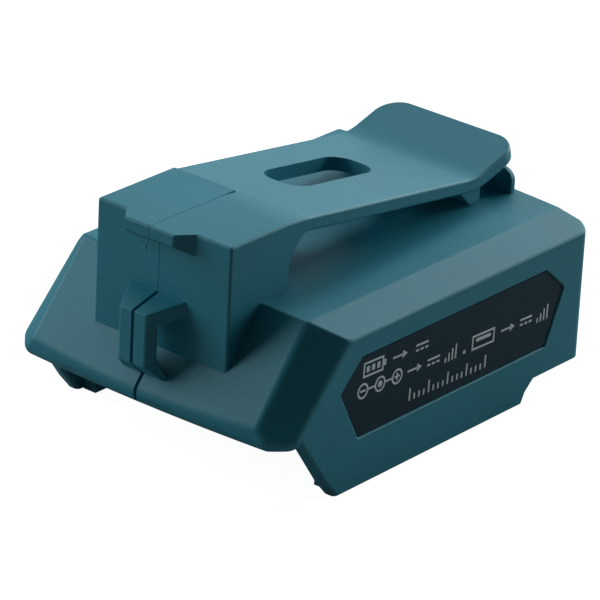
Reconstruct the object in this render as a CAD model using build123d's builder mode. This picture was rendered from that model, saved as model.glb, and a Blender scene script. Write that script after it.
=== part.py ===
from build123d import *
from math import radians, sqrt, tan
import os

os.makedirs("parts", exist_ok=True)

# Battery adapter: a two-part clamshell that slides onto a tool battery and turns its
# power into a 5 V socket and a 12 V jack, worn on a belt by a springy clip.
# Millimetres. X runs across, Y from the battery's side to the sockets, Z up from
# the resting face. The origin is the middle of the bounding box, on the resting face.

# Body, outside
body_width = 65.0  # across the side walls
body_top = 33.7  # flat top above the resting face
nose_reach = 5.3  # tower front to the middle of the bowed front edge
rear_reach = 87.0  # tower front to the middle of the bowed rear face
nose_bow = 400.0  # radius of the front face, seen from above
rear_bow = 235.0  # radius of the rear face, seen from above
front_corner = 4.5  # corner radius of the front, seen from above
rear_corner = 2.4  # corner radius of the rear, seen from above
slope_angle = 52.0  # front slope, above the horizontal
slope_start = 8.6  # tower front to the top of the front slope
wall = 2.2  # shell thickness
nose_round = 2.4  # edges above and below the nose
edge_round = 0.8
crisp_round = 0.5
fine_round = 0.3
beyond = 3.0  # how far a cutting shape runs past what it cuts

# Bands cut along the top's edges
side_band_width = 5.7
side_band_drop = 3.6
left_band_drop = 4.5  # the left band falls more steeply than the right one
rear_band_width = 3.05
rear_band_drop = 2.5
rim_start = 13.9  # tower front to the top corner of the side wall
rim_angle = 46.8  # front edge of the right side wall, above the horizontal
left_rim_angle = 45.3
slope_side_round = 2.0  # edges of the side bands, down the front slope

# Underside and battery channel
channel_roof = 12.6  # roof of the channel above the resting face
rear_bottom = 4.3  # underside of the rear end
stop_wall = 68.0  # tower front to the wall that stops the battery
stop_run = 2.0  # lean of that wall
skirt = 3.0  # thickness of the two skirts
skirt_front = 11.8
skirt_round = 1.0  # front edges of the skirts
skirt_back = 66.5
skirt_knee = 8.9  # front of the skirts, above its lowest part
skirt_knee_height = 3.3
skirt_top_front = 2.3  # front of the skirts at the channel's roof
skirt_sink = 2.6  # skirts run up into the body, past its rounded lower edge
skirt_heel = (1.1, 2.2)  # rear end of the skirts' foot, run and rise
rail_reach = 3.0  # rails stand in from the skirts
rail_height = 2.4
rail_front = 13.2
latch_pocket = (16.0, 5.0)  # X and Y
latch_pocket_depth = 1.2
latch_pocket_middle = 4.5  # tower front to the middle of the pocket
latch_border = 2.0  # pad inside, wider than the pocket all round

# Tower that carries the clip
tower_half = 15.8
tower_rise = 13.27  # flat top to the top of the tower
tower_depth = 16.2  # at its foot
clip_root = 20.3  # tower front to the face where the clip springs from
neck_start = 38.6  # where the back of the tower starts to flare
neck_radius = 9.0
bump_root = 8.2  # half widths of the raised bump on the tower's front
bump_tip = 5.6
bump_reach = 3.1
bump_depth = 2.3
bump_taper = 4.2

# Strap loop
loop_root = 6.7  # half widths at the tower and at the bar
loop_tip = 3.2
loop_reach = 6.6
loop_bar = 2.2
loop_top = 33.4
loop_bar_top = 31.7
loop_bar_bottom = 21.4
loop_arm = 3.1  # thickness of the upper arm
loop_foot = 2.7  # where the lower arm meets the slope, in front of the tower
loop_sink = 1.4  # lower arm sunk into the slope
loop_hole_lift = 1.5
loop_gap = 0.7  # the two halves of the loop stand apart
loop_gap_depth = 1.2  # the same gap runs on down the slope, this deep

# Belt clip
clip_drop = 7.85  # degrees that the arm falls towards its tip
clip_thick = 2.75
clip_lead = 5.0  # curve of the tower's top, in front of the root
clip_knee = 71.0  # tower front to the bend below the tip
clip_knee_radius = 14.0
clip_rise = 16.4  # degrees that the tip rises
clip_tip = 83.8
clip_tip_corner = 5.2
clip_root_gap = 0.05
slot_length = 23.8
slot_width = 10.3
slot_corner = 4.0
slot_middle = (-1.7, 44.9)  # X, and distance behind the tower front
tooth_start = 67.5
tooth_end = 73.2
tooth_half = 14.8
tooth_slope = 2.9  # run of the tooth's sloping front
tooth_gap = 0.35  # tooth above the body's top

# Belt stop at the rear edge of the top
stop_half = 16.4
stop_height = 4.6
stop_thick = 1.4
stop_corner = 2.4
stop_set_back = 4.25  # rear face to the back of the lip

# Seam and screws
seam_x = -0.8
seam_gap = 0.1
screw_length = 14.0
screw_thread = 3.0
screw_head = 5.6
screw_head_height = 2.2
screw_pilot = 2.6
screw_clearance = 3.4
well_diameter = 6.4
boss_diameter = 8.0
head_seat = 6.0  # seam to the seat under the screw's head
screw_slot = 1.0  # arms of the cross in the head
screw_slot_depth = 1.3
tower_screw = (8.0, 6.97)  # tower front and tower top to the screw in the tower
front_screw = (27.0, 25.4)  # distance behind the tower's front, and height
middle_screw = (26.0, 25.4)  # distance before the rear face, and height
rear_screw = (10.4, 10.4)

# Label in the right wall
label_front = 12.0  # tower front to the label's front point
label_set_back = 9.2  # rear face to the label's rear point
label_bottom = 9.8
label_top = 25.8
label_points = (20.2, 20.7)  # heights of the front and the rear point
label_front_lean = 5.6  # front point to the corners behind it
label_rear_lean = (5.9, 4.8)  # rear point to the upper and the lower corner
label_recess = 0.6
label_thick = 0.35
label_gap = 0.2
label_corner = 0.8

# Circuit board
board_bottom = 16.2
board_thick = 1.6
board_front = 17.0
board_set_back = 4.8  # inside of the rear wall to the rear edge of the board
board_gap = 0.3
neck_half = 11.5  # narrow front of the board, under the tower
neck_front = 3.2
groove_lip = 1.6
groove_depth = 1.7
groove_front = 32.0
groove_rear = 56.0
fit = 0.2  # parts that drop into pockets
tight_fit = 0.05  # parts pressed or glued into pockets

# 5 V socket
usb_x = -15.5
usb_width = 13.1
usb_height = 5.7
usb_depth = 14.0
usb_sheet = 0.4
usb_tongue_width = 11.1
usb_tongue_thick = 1.8
usb_tongue_length = 9.0
usb_tongue_set_back = 1.0  # tip of the tongue behind the mouth
usb_contact = (1.0, 7.0, 0.25)
usb_contact_pitch = 2.3

# 12 V jack
jack_x = 15.0
jack_width = 9.0
jack_depth = 11.0
jack_height = 9.8
jack_nose = 8.0
jack_bore = 5.7
jack_bore_depth = 9.5
jack_pin = 2.0
jack_pin_length = 9.0
jack_middle = 5.4  # bore above the board
jack_spring = (2.0, 6.0, 0.3)

socket_set_back = 0.6  # mouths of both sockets behind the rear face

# Power button, its switch and the status light
control_height = 3.6  # all three, above the board
button_x = -1.6
button_diameter = 6.0
button_flange = 8.4
button_flange_thick = 1.0
button_proud = 0.9
button_travel = 0.6
button_gap = 0.08  # radial running clearance
button_rest_gap = 0.15  # flange to the wall that stops it
button_stem = 3.0
switch_width = 6.0
switch_depth = 3.4
switch_gap = 0.4  # switch to the rear edge of the board
plunger_diameter = 3.2
plunger_gap = 0.1
plunger_sunk = 0.8  # plunger inside the switch at rest
plunger_reach = 1.6
light_x = 5.0
light_diameter = 2.6
light_flange = 4.0
light_flange_thick = 1.0
led_diameter = 3.0
led_length = 4.6
led_rim = 3.8
led_rim_thick = 1.0
led_leg = 0.5
led_pitch = 2.5

# Battery terminals
block_width = 26.0
block_start = 51.0
block_end = 65.0
block_bottom = 3.6
block_neck = (20.0, 8.0)
block_shoulder = 2.0  # flange past the neck, on the channel's roof inside
block_flange_height = 1.2
blade_thick = 0.8
blade_height = 5.0
blade_front = 39.0
blade_rear = 62.0
blade_bottom = 5.4
blade_spacing = 8.0
tab_start = 56.0
tab_length = 3.0
tab_proud = 1.2  # tab above the board

# Parts on the board
capacitor_diameter = 8.0
capacitor_height = 16.0
capacitor_x = 4.9
capacitor_y = 8.2
can_groove = 0.4
can_groove_height = 1.6
output_capacitor_height = 10.0
output_capacitor_inset = (5.0, 10.0)  # from the side and rear edges of the board
inductor_place = (-14.0, 33.0)  # X, and distance before the rear edge of the board
inductor_side = 12.0
inductor_height = 6.0
inductor_core = 9.0
regulator_spot = (2.0, 45.0)
regulator_size = (3.9, 4.9, 1.5)
diode_spot = (-2.5, 32.0)
diode_size = (4.4, 2.7, 2.2)
fuse_spot = (13.0, 24.0)
fuse_size = (7.4, 3.1, 2.6)
fuse_cap = 1.4
resistor_size = (2.0, 1.25, 0.5)
resistor_pitch = 3.2
resistor_spot = (11.0, 40.0)
resistor_count = 4

tower_front = (loop_reach - rear_reach - button_proud) / 2
half_width = body_width / 2
board_top = board_bottom + board_thick
board_rear = rear_reach - wall - board_set_back
board_side = half_width - wall - board_gap
tower_top = body_top + tower_rise
crest_x = half_width - side_band_width
skirt_inside = half_width - skirt
slope_rise = tan(radians(slope_angle))
skirt_rise = (channel_roof - skirt_knee_height) / (skirt_knee - skirt_top_front)
clip_top = tower_top - clip_lead * tan(radians(clip_drop / 2))
rear_middle = rear_reach - rear_bow
label_rear = rear_reach - label_set_back
label_outline = [
    (label_front + label_front_lean, label_top),
    (label_rear - label_rear_lean[0], label_top),
    (label_rear, label_points[1]),
    (label_rear - label_rear_lean[1], label_bottom),
    (label_front + label_front_lean, label_bottom),
    (label_front, label_points[0]),
]
screw_spots = [
    (tower_screw[0], tower_top - tower_screw[1]),
    front_screw,
    (rear_reach - middle_screw[0], middle_screw[1]),
    (rear_reach - rear_screw[0], rear_screw[1]),
]
output_capacitor_spot = (board_side - output_capacitor_inset[0], board_rear - output_capacitor_inset[1])
inductor_spot = (inductor_place[0], board_rear - inductor_place[1])


def side_plane(x):
    """Plane square to X: its own x runs back from the tower's front, its own y runs up."""
    return Plane(origin=(x, tower_front, 0), x_dir=(0, 1, 0), z_dir=(1, 0, 0))


def plan_plane(z):
    """Plane square to Z: its own x runs across, its own y runs back from the tower's front."""
    return Plane(origin=(0, tower_front, z), x_dir=(1, 0, 0), z_dir=(0, 0, 1))


def cross_plane(y):
    """Plane square to Y, y behind the tower's front, that extrudes forwards."""
    return Plane(origin=(0, tower_front + y, 0), x_dir=(1, 0, 0), z_dir=(0, -1, 0))


def rear_face(x):
    """Distance from the tower's front to the bowed rear face at x."""
    return rear_middle + sqrt(rear_bow**2 - x**2)


def inner_rear_face(x):
    """Distance from the tower's front to the inside of the rear wall at x."""
    return rear_middle + sqrt((rear_bow - wall) ** 2 - x**2)


def slope_height(y):
    """Height of the front slope at y behind the tower's front."""
    return body_top - (slope_start - y) * slope_rise


def on_tower_rim(edge):
    """Whether an edge of the tower's top lies along its front or sides."""
    middle = edge.center()
    beside = abs(middle.X) > tower_half - edge_round
    return beside or middle.Y < tower_front + edge_round


def beside_slope(edge):
    """Whether an edge of the body runs down beside the front slope."""
    middle = edge.center()
    ahead = middle.Y < tower_front + slope_start and abs(middle.X) > tower_half
    return ahead and edge.length > front_corner


def plan_prism(inset):
    """Everything inside the outline seen from above, moved in by inset."""
    half = half_width - inset
    reach = rear_reach - inset
    nose = inset - nose_reach
    nose_dip = nose_bow - inset - sqrt((nose_bow - inset) ** 2 - half**2)
    rear_dip = rear_bow - inset - sqrt((rear_bow - inset) ** 2 - half**2)
    with BuildPart() as prism:
        with BuildSketch(plan_plane(0)) as plan:
            with BuildLine():
                ThreePointArc((-half, nose + nose_dip), (0, nose), (half, nose + nose_dip))
                Line((half, nose + nose_dip), (half, reach - rear_dip))
                ThreePointArc((half, reach - rear_dip), (0, reach), (-half, reach - rear_dip))
                Line((-half, reach - rear_dip), (-half, nose + nose_dip))
            make_face()
            fillet(plan.vertices().group_by(Axis.Y)[0], front_corner - inset)
            fillet(plan.vertices().group_by(Axis.Y)[-1], rear_corner - inset)
        extrude(amount=body_top)
    return prism.part


def body_form(inset, rounded):
    """The body without skirts, tower and loop, every face moved in by inset."""
    half = half_width - inset
    top = body_top - inset
    roof = channel_roof + inset
    bottom = rear_bottom + inset
    reach = rear_reach - inset
    ahead = inset - nose_reach - beyond
    behind = reach + beyond
    crest_start = slope_start + inset * tan(radians(slope_angle / 2))
    with BuildPart() as form:
        with BuildSketch(side_plane(0)):
            with BuildLine():
                Polyline(
                    (crest_start - (top - roof) / slope_rise, roof),
                    (stop_wall + inset, roof),
                    (stop_wall + stop_run + inset, bottom),
                    (behind, bottom),
                    (behind, top),
                    (crest_start, top),
                    close=True,
                )
            make_face()
        extrude(amount=half, both=True)
        add(plan_prism(inset), mode=Mode.INTERSECT)
        if rounded:
            rims = form.edges().filter_by(Axis.Z, reverse=True)
            rims = rims.filter_by_position(Axis.Y, tower_front - nose_reach, tower_front)
            fillet(rims.filter_by_position(Axis.Z, roof, slope_height(0)), nose_round)
        # band along the bowed rear edge of the top
        with BuildSketch(side_plane(0)):
            with BuildLine():
                Polyline(
                    (reach - rear_band_width, top),
                    (reach + rear_band_width, top - 2 * rear_band_drop),
                    (reach + rear_band_width, top + beyond),
                    (reach - rear_band_width, top + beyond),
                    close=True,
                )
            make_face()
        revolve(axis=Axis((0, tower_front + rear_middle, 0), (0, 0, 1)), mode=Mode.SUBTRACT)
        # bands along the sides, which run on down the front slope
        for side, band_drop, angle in ((1, side_band_drop, rim_angle), (-1, left_band_drop, left_rim_angle)):
            edge_start = rim_start + inset * tan(radians(angle / 2))
            edge_top = top - band_drop
            with BuildSketch(side_plane(side * (crest_x - inset))):
                with BuildLine():
                    Polyline(
                        (ahead, top - (crest_start - ahead) * slope_rise),
                        (crest_start, top),
                        (behind, top),
                        (behind, top + beyond),
                        (ahead, top + beyond),
                        close=True,
                    )
                make_face()
            with BuildSketch(side_plane(side * half)):
                with BuildLine():
                    Polyline(
                        (ahead, edge_top - (edge_start - ahead) * tan(radians(angle))),
                        (edge_start, edge_top),
                        (behind, edge_top),
                        (behind, top + beyond),
                        (ahead, top + beyond),
                        close=True,
                    )
                make_face()
            loft(ruled=True, mode=Mode.SUBTRACT)
    return form.part


# Skirts that hold the battery, one below each side wall
with BuildPart() as skirts:
    for side in (1, -1):
        with BuildSketch(side_plane(side * half_width)):
            with BuildLine():
                Polyline(
                    (skirt_front, 0),
                    (skirt_back, 0),
                    (skirt_back + skirt_heel[0], skirt_heel[1]),
                    (stop_wall + stop_run, rear_bottom),
                    (stop_wall + 3 * stop_run, rear_bottom),
                    (stop_wall + 3 * stop_run, channel_roof + skirt_sink),
                    (skirt_top_front - skirt_sink / skirt_rise, channel_roof + skirt_sink),
                    (skirt_knee, skirt_knee_height),
                    close=True,
                )
            make_face()
        extrude(amount=-side * skirt)
    leading = skirts.faces().filter_by(lambda face: face.normal_at().Y < -0.3)
    leading = leading.filter_by(lambda face: face.center().Y < tower_front + skirt_front)
    fillet(leading.edges().filter_by(Axis.X, reverse=True), skirt_round)
    feet = skirts.edges().filter_by_position(Axis.Z, 0, 0).filter_by(Axis.Y)
    fillet(feet.filter_by(lambda edge: abs(edge.center().X) > half_width - crisp_round), fine_round)
    add(plan_prism(0), mode=Mode.INTERSECT)


# Body under the tower, with its moulded edges rounded
with BuildPart() as body:
    add(body_form(0, True))
    above = body.edges().filter_by(Axis.Z, reverse=True).filter_by_position(Axis.Z, channel_roof + wall, body_top)
    fillet(above.filter_by(beside_slope), slope_side_round)
    above = body.edges().filter_by(Axis.Z, reverse=True).filter_by_position(Axis.Z, channel_roof + wall, body_top)
    fillet(above.filter_by_position(Axis.Y, tower_front + slope_start, tower_front + rear_reach), edge_round)


# Tower, whose back flares out to the clip's root
with BuildPart() as tower:
    with BuildSketch(side_plane(0)):
        with BuildLine():
            Polyline(
                (tower_depth, neck_start),
                (tower_depth, channel_roof + wall),
                (0, channel_roof + wall),
                (0, tower_top),
                (clip_root, tower_top),
                (clip_root, clip_top - clip_thick),
            )
            RadiusArc((clip_root, clip_top - clip_thick), (tower_depth, neck_start), -neck_radius)
        make_face()
    extrude(amount=tower_half, both=True)
    # the right half runs down to the clip in a gentle curve
    with BuildSketch(side_plane(seam_x)):
        with BuildLine():
            Line((clip_root, clip_top), (clip_root + beyond, clip_top))
            Line((clip_root + beyond, clip_top), (clip_root + beyond, tower_top + beyond))
            Line((clip_root + beyond, tower_top + beyond), (clip_root - clip_lead, tower_top + beyond))
            Line((clip_root - clip_lead, tower_top + beyond), (clip_root - clip_lead, tower_top))
            TangentArc((clip_root - clip_lead, tower_top), (clip_root, clip_top), tangent=(1, 0))
        make_face()
    extrude(amount=tower_half - seam_x, mode=Mode.SUBTRACT)
    fillet(tower.edges().filter_by(Axis.Z).group_by(Axis.Y)[0], crisp_round)
    brow = tower.edges().filter_by_position(Axis.Z, tower_top - edge_round, tower_top)
    fillet(brow.filter_by(on_tower_rim), crisp_round)


# Raised bump on the tower's front, over the seam
with BuildPart() as bump:
    with BuildSketch(side_plane(seam_x)):
        with BuildLine():
            Polyline(
                (edge_round, tower_top),
                (-bump_reach, tower_top),
                (-bump_reach, tower_top - bump_depth),
                (0, tower_top - bump_taper),
                (edge_round, tower_top - bump_taper),
                close=True,
            )
        make_face()
    extrude(amount=bump_root, both=True)
    with BuildSketch(plan_plane(tower_top)):
        with BuildLine():
            Polyline(
                (seam_x - bump_root, edge_round),
                (seam_x - bump_root, 0),
                (seam_x - bump_tip, -bump_reach),
                (seam_x + bump_tip, -bump_reach),
                (seam_x + bump_root, 0),
                (seam_x + bump_root, edge_round),
                close=True,
            )
        make_face()
    extrude(amount=-bump_taper, mode=Mode.INTERSECT)
    fillet(bump.edges().filter_by(Axis.X).group_by(Axis.Y)[0], crisp_round)


# Strap loop on the tower's front, a bar on two arms
loop_arm_drop = loop_top - (loop_top - loop_bar_top) * (loop_reach - loop_bar) / loop_reach
with BuildPart() as strap_loop:
    with BuildSketch(side_plane(seam_x)):
        with BuildLine():
            Polyline(
                (edge_round, loop_top),
                (0, loop_top),
                (-loop_reach, loop_bar_top),
                (-loop_reach, loop_bar_bottom),
                (-loop_foot, slope_height(-loop_foot) - loop_sink),
                (edge_round, slope_height(-loop_foot) - loop_sink),
                close=True,
            )
        make_face()
        with BuildLine():
            Polyline(
                (0, loop_top - loop_arm),
                (loop_bar - loop_reach, loop_arm_drop - loop_arm),
                (loop_bar - loop_reach, loop_bar_bottom + loop_hole_lift),
                (-loop_foot, slope_height(-loop_foot)),
                (0, slope_height(0)),
                close=True,
            )
        make_face(mode=Mode.SUBTRACT)
    extrude(amount=loop_root, both=True)
    with BuildSketch(plan_plane(loop_top)):
        with BuildLine():
            Polyline(
                (seam_x - loop_root, edge_round),
                (seam_x - loop_root, 0),
                (seam_x - loop_tip, -loop_reach),
                (seam_x + loop_tip, -loop_reach),
                (seam_x + loop_root, 0),
                (seam_x + loop_root, edge_round),
                close=True,
            )
        make_face()
    extrude(amount=-loop_top, mode=Mode.INTERSECT)
    fillet(strap_loop.edges().filter_by(Axis.Z).group_by(Axis.Y)[0], edge_round)
    outer = strap_loop.edges().filter_by_position(Axis.Y, tower_front - loop_reach, tower_front - fine_round)
    fillet(outer.filter_by(GeomType.LINE), fine_round)


# Belt stop, a thin upright lip along the rear edge of the top
with BuildPart() as belt_stop:
    stop_radius = rear_bow - stop_set_back
    with BuildSketch(plan_plane(body_top - crisp_round)):
        with Locations((0, rear_middle)):
            Circle(stop_radius)
            Circle(stop_radius - stop_thick, mode=Mode.SUBTRACT)
    extrude(amount=stop_height + crisp_round)
    with BuildSketch(cross_plane(rear_reach)) as stop_front:
        with Locations((0, body_top + (stop_height - crisp_round) / 2)):
            Rectangle(2 * stop_half, stop_height + crisp_round)
        fillet(stop_front.vertices().group_by(Axis.Y)[-1], stop_corner)
    extrude(amount=rear_reach - stop_wall, mode=Mode.INTERSECT)
    fillet(belt_stop.edges().filter_by_position(Axis.Z, body_top, body_top + stop_height), fine_round)


# Outside of both halves, still in one piece
with BuildPart() as envelope:
    add([body.part, skirts.part, tower.part, bump.part, strap_loop.part, belt_stop.part])
    # recess for the label in the right wall
    with BuildSketch(side_plane(half_width)) as label_pocket:
        with BuildLine():
            Polyline(*label_outline, close=True)
        make_face()
        fillet(label_pocket.vertices(), label_corner)
    extrude(amount=-label_recess, mode=Mode.SUBTRACT)
    border = envelope.edges().filter_by_position(Axis.X, half_width, half_width)
    border = border.filter_by_position(Axis.Y, tower_front + label_front, tower_front + label_rear)
    fillet(border.filter_by_position(Axis.Z, label_bottom, label_top), fine_round)


# Space inside the walls of the body and the tower
with BuildPart() as cavity:
    add(body_form(wall, False))
    with BuildSketch(plan_plane(channel_roof + wall)):
        with Locations((0, tower_depth / 2)):
            Rectangle(2 * (tower_half - wall), tower_depth - 2 * wall)
    extrude(amount=tower_top - channel_roof - 2 * wall)


# Screw bosses, board grooves and the pad over the latch pocket
with BuildPart() as inner_frame:
    with BuildSketch(side_plane(0)):
        with Locations(screw_spots):
            Circle(boss_diameter / 2)
    extrude(amount=half_width, both=True)
    for side in (1, -1):
        for low, high in ((channel_roof, board_bottom), (board_top + fit, board_top + fit + groove_lip)):
            with BuildSketch(plan_plane(low)):
                with Locations((side * (half_width - (wall + groove_depth) / 2), (groove_front + groove_rear) / 2)):
                    Rectangle(wall + groove_depth, groove_rear - groove_front)
            extrude(amount=high - low)
    with BuildSketch(plan_plane(channel_roof)):
        with Locations((0, latch_pocket_middle)):
            Rectangle(latch_pocket[0] + 2 * latch_border, latch_pocket[1] + 2 * latch_border)
    extrude(amount=latch_pocket_depth + wall)
    add(envelope.part, mode=Mode.INTERSECT)


# Both halves of the shell, not yet parted
with BuildPart() as shell:
    add(envelope.part)
    add(cavity.part, mode=Mode.SUBTRACT)
    add(inner_frame.part)
    # rails that the battery slides on
    with BuildSketch(plan_plane(0)):
        with Locations(
            (skirt_inside - rail_reach / 2, (rail_front + skirt_back) / 2),
            (rail_reach / 2 - skirt_inside, (rail_front + skirt_back) / 2),
        ):
            Rectangle(rail_reach, skirt_back - rail_front)
    extrude(amount=rail_height)
    # pocket that the battery's latch springs into
    with BuildSketch(plan_plane(channel_roof)):
        with Locations((0, latch_pocket_middle)):
            Rectangle(*latch_pocket)
    extrude(amount=latch_pocket_depth, mode=Mode.SUBTRACT)
    # opening for the neck of the terminal block
    with BuildSketch(plan_plane(channel_roof)):
        with Locations((0, (block_start + block_end) / 2)):
            Rectangle(block_neck[0] + 2 * fit, block_neck[1] + 2 * fit)
    extrude(amount=wall, mode=Mode.SUBTRACT)
    # openings in the rear wall
    with BuildSketch(cross_plane(rear_reach + wall)):
        with Locations((usb_x, board_top + usb_height / 2)):
            Rectangle(usb_width + 2 * fit, usb_height + 2 * fit)
        with Locations((jack_x, board_top + jack_middle)):
            Circle(jack_nose / 2 + fit)
        with Locations((button_x, board_top + control_height)):
            Circle(button_diameter / 2 + button_gap)
        with Locations((light_x, board_top + control_height)):
            Circle(light_diameter / 2 + tight_fit)
    extrude(amount=4 * wall, mode=Mode.SUBTRACT)
    # the open seam down the strap loop and the front slope
    groove_drop = loop_gap_depth * sqrt(1 + slope_rise**2)
    with BuildSketch(side_plane(seam_x)):
        with BuildLine():
            Polyline(
                (0, loop_top + beyond),
                (-loop_reach - beyond, loop_top + beyond),
                (-loop_reach - beyond, channel_roof - beyond),
                (loop_gap_depth - nose_reach, channel_roof - beyond),
                (loop_gap_depth - nose_reach, slope_height(loop_gap_depth - nose_reach) - groove_drop),
                (0, slope_height(0) - groove_drop),
                close=True,
            )
        make_face()
    extrude(amount=loop_gap / 2, both=True, mode=Mode.SUBTRACT)


# Left half, with the wells and holes for the screws
with BuildPart() as left_housing:
    add(shell.part)
    split(bisect_by=side_plane(seam_x - seam_gap / 2), keep=Keep.BOTTOM)
    with BuildSketch(side_plane(seam_x - head_seat)):
        with Locations(screw_spots):
            Circle(well_diameter / 2)
    extrude(amount=-body_width, mode=Mode.SUBTRACT)
    with BuildSketch(side_plane(seam_x)):
        with Locations(screw_spots):
            Circle(screw_clearance / 2)
    extrude(amount=-head_seat, mode=Mode.SUBTRACT)


# Right half, with pilot holes that the screws cut their thread in
with BuildPart() as right_housing:
    add(shell.part)
    split(bisect_by=side_plane(seam_x + seam_gap / 2), keep=Keep.TOP)
    with BuildSketch(side_plane(seam_x)):
        with Locations(screw_spots):
            Circle(screw_pilot / 2)
    extrude(amount=screw_length - head_seat + screw_pilot / 2, mode=Mode.SUBTRACT)


# Housing screws, self-tapping, with cross-recessed pan heads
with BuildPart() as housing_screws:
    with BuildSketch(side_plane(seam_x - head_seat)):
        with Locations(screw_spots):
            Circle(screw_head / 2)
    extrude(amount=-screw_head_height)
    fillet(housing_screws.edges().group_by(Axis.X)[0], edge_round)
    with BuildSketch(side_plane(seam_x - head_seat)):
        with Locations(screw_spots):
            Circle(screw_thread / 2)
    extrude(amount=screw_length)
    chamfer(housing_screws.edges().group_by(Axis.X)[-1], crisp_round)
    with BuildSketch(side_plane(seam_x - head_seat - screw_head_height)):
        with Locations(screw_spots):
            Rectangle(screw_head - 2 * edge_round, screw_slot)
            Rectangle(screw_slot, screw_head - 2 * edge_round)
    extrude(amount=screw_slot_depth, mode=Mode.SUBTRACT)


# Belt clip, a flat springy arm whose tip turns up
clip_fall = tan(radians(clip_drop))
knee_height = clip_top - (clip_knee - clip_root) * clip_fall
clip_front = clip_root + clip_root_gap
with BuildPart() as belt_clip:
    with BuildSketch(side_plane(0)):
        with BuildLine():
            FilletPolyline(
                (clip_root - clip_thick, clip_top + clip_thick * clip_fall),
                (clip_knee, knee_height),
                (clip_tip, knee_height + (clip_tip - clip_knee) * tan(radians(clip_rise))),
                radius=clip_knee_radius,
            )
            offset(amount=clip_thick, side=Side.RIGHT)
        make_face()
    extrude(amount=tower_half, both=True)
    split(bisect_by=cross_plane(clip_front), keep=Keep.BOTTOM)
    tip = belt_clip.faces().sort_by(Axis.Y)[-1]
    fillet(tip.edges().filter_by(Axis.X, reverse=True), clip_tip_corner)
    with BuildSketch(plan_plane(body_top)):
        with Locations(slot_middle):
            RectangleRounded(slot_width, slot_length, slot_corner)
    extrude(amount=tower_top - body_top, mode=Mode.SUBTRACT)
    slot_side = slot_middle[0] + slot_width / 2
    rims = belt_clip.edges().filter_by_position(Axis.X, tower_half, tower_half).sort_by(SortBy.LENGTH)[-2:]
    slot_rims = belt_clip.edges().filter_by_position(Axis.X, slot_side, slot_side).filter_by(Axis.Z, reverse=True)
    fillet(rims + slot_rims, crisp_round)
    # tooth under the tip, which holds the belt
    with BuildSketch(side_plane(0)):
        with BuildLine():
            Polyline(
                (tooth_start, knee_height - clip_thick / 2),
                (tooth_start, knee_height - clip_thick),
                (tooth_start + tooth_slope, body_top + tooth_gap),
                (tooth_end, body_top + 2 * tooth_gap),
                (tooth_end, knee_height - clip_thick / 2),
                close=True,
            )
        make_face()
    extrude(amount=tooth_half, both=True)
    fillet(belt_clip.edges().filter_by(Axis.X).group_by(Axis.Z)[0], crisp_round / 2)


# Blank label that fills the recess in the right wall
with BuildPart() as label_plate:
    with BuildSketch(side_plane(half_width - label_recess)) as label_face:
        with BuildLine():
            Polyline(*label_outline, close=True)
        make_face()
        fillet(label_face.vertices(), label_corner)
        offset(amount=-label_gap)
    extrude(amount=label_thick)


def terminal(x, grow):
    """One blade with its tab up to the board, every face moved out by grow."""
    with BuildPart() as blade:
        with BuildSketch(side_plane(x)):
            with BuildLine():
                Polyline(
                    (blade_front - grow, blade_bottom - grow),
                    (blade_rear + grow, blade_bottom - grow),
                    (blade_rear + grow, blade_bottom + blade_height + grow),
                    (tab_start + tab_length + grow, blade_bottom + blade_height + grow),
                    (tab_start + tab_length + grow, board_top + tab_proud),
                    (tab_start - grow, board_top + tab_proud),
                    (tab_start - grow, blade_bottom + blade_height + grow),
                    (blade_front - grow, blade_bottom + blade_height + grow),
                    close=True,
                )
            make_face()
        extrude(amount=blade_thick / 2 + grow, both=True)
        tips = blade.edges().filter_by(Axis.Z).group_by(Axis.Y)[0]
        chamfer(tips, blade_thick / 3)
    return blade.part


# Battery terminals, three blades moulded into the block
for name, place in (("positive_terminal", -1), ("signal_terminal", 0), ("negative_terminal", 1)):
    with BuildPart() as blade:
        add(terminal(place * blade_spacing, 0))
    blade.part.label = name
    export_step(blade.part, f"parts/{name}.step")


# Terminal block, which hangs through the channel's roof
block_middle = (block_start + block_end) / 2
with BuildPart() as terminal_block:
    with BuildSketch(plan_plane(block_bottom)):
        with Locations((0, block_middle)):
            Rectangle(block_width, block_end - block_start)
    extrude(amount=channel_roof - fit - block_bottom)
    fillet(terminal_block.edges().filter_by(Axis.Z), edge_round)
    with BuildSketch(plan_plane(block_bottom)):
        with Locations((0, block_middle)):
            Rectangle(*block_neck)
    extrude(amount=channel_roof + wall - block_bottom)
    with BuildSketch(plan_plane(channel_roof + wall)):
        with Locations((0, block_middle)):
            Rectangle(block_neck[0] + 2 * block_shoulder, block_neck[1] + 2 * block_shoulder)
    extrude(amount=block_flange_height)
    for place in (-1, 0, 1):
        add(terminal(place * blade_spacing, 0), mode=Mode.SUBTRACT)


# Circuit board, held in the grooves of both halves
with BuildPart() as circuit_board:
    with BuildSketch(plan_plane(board_bottom)) as board_plan:
        with BuildLine():
            Polyline(
                (-board_side, board_front),
                (-neck_half, board_front),
                (-neck_half, neck_front),
                (neck_half, neck_front),
                (neck_half, board_front),
                (board_side, board_front),
                (board_side, board_rear),
                (-board_side, board_rear),
                close=True,
            )
        make_face()
        fillet(board_plan.vertices().group_by(Axis.Y)[-1], edge_round)
    extrude(amount=board_thick)
    for place in (-1, 0, 1):
        add(terminal(place * blade_spacing, tight_fit), mode=Mode.SUBTRACT)


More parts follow.
